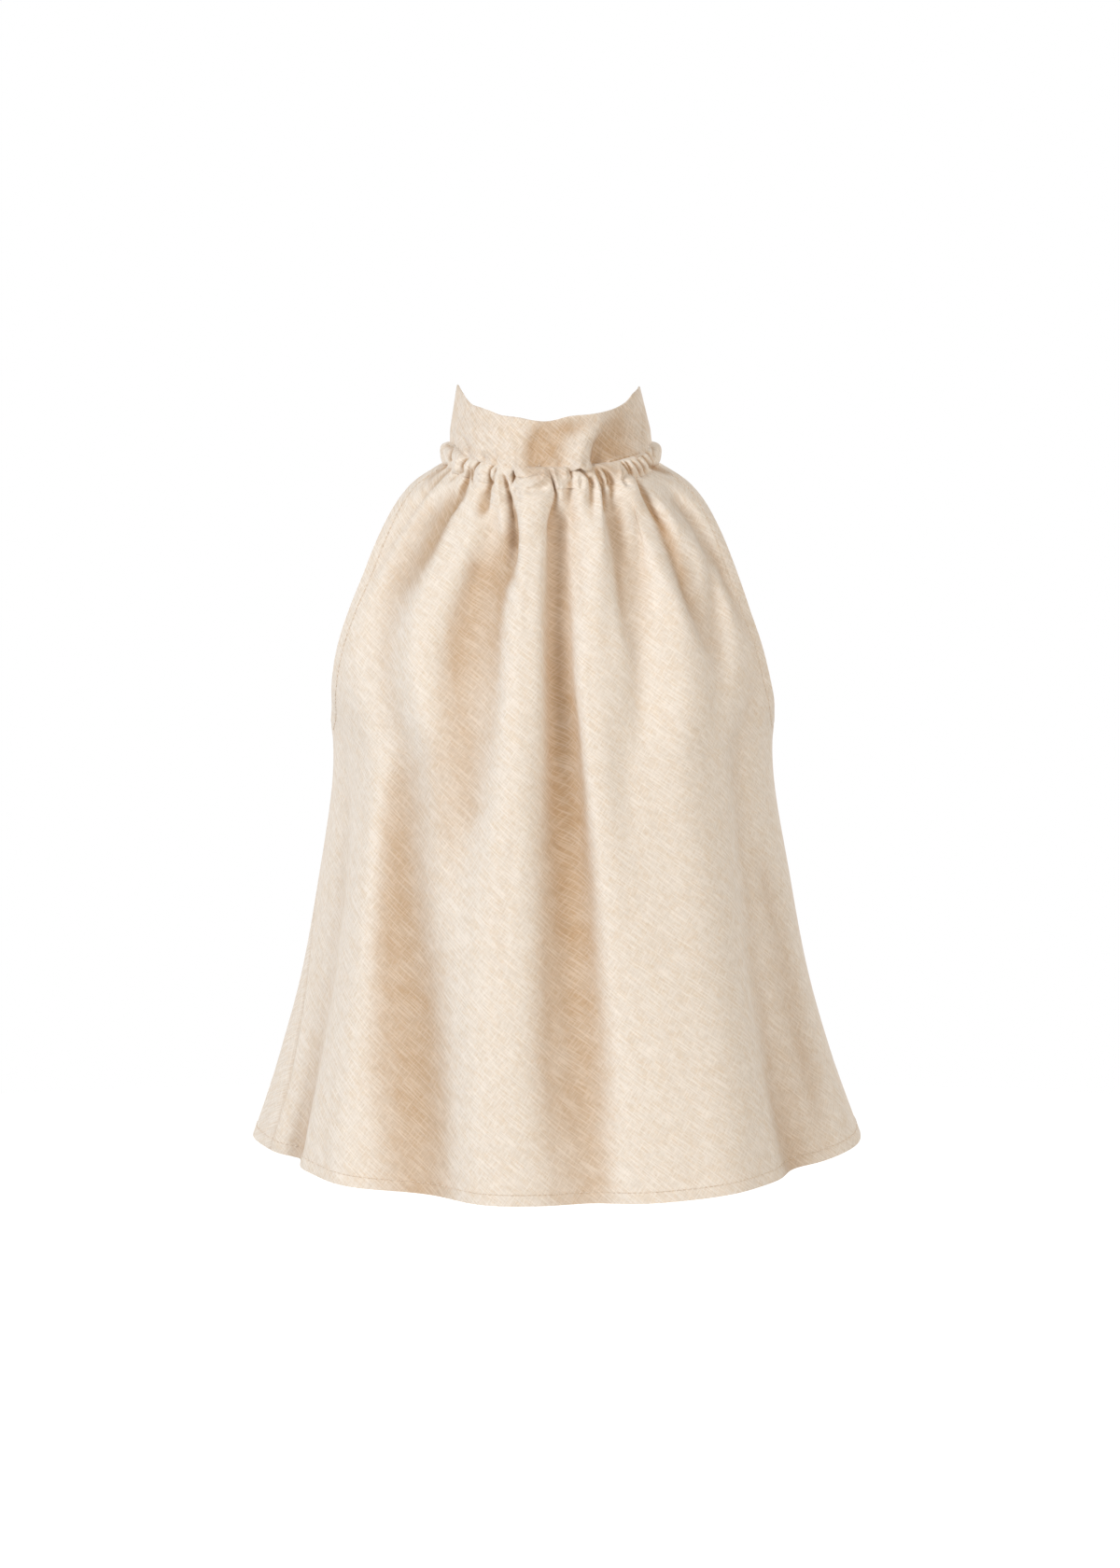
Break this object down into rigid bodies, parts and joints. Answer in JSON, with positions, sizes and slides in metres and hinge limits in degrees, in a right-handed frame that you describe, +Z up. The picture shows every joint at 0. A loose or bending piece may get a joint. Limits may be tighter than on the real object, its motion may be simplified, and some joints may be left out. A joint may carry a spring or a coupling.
{
  "type": "halter top",
  "caption": "Sleeveless flared linen halter top, gathered into a neck casing under a standing collar, in its hollow worn form.",
  "frame": {"origin": "middle of the ring of the neck casing, where the wearer's neck holds the top up", "axes": "+Z up along the neck, front towards -Y, +X to the right as the front is seen"},
  "size_m": [0.4167, 0.2955, 0.5343],
  "materials": {
    "linen": "matte natural linen weave"
  },
  "bodies": {
    "root": {"front_panel": "linen", "back_panel": "linen", "neck_casing": "linen", "collar": "linen"}
  },
  "joints": []
}
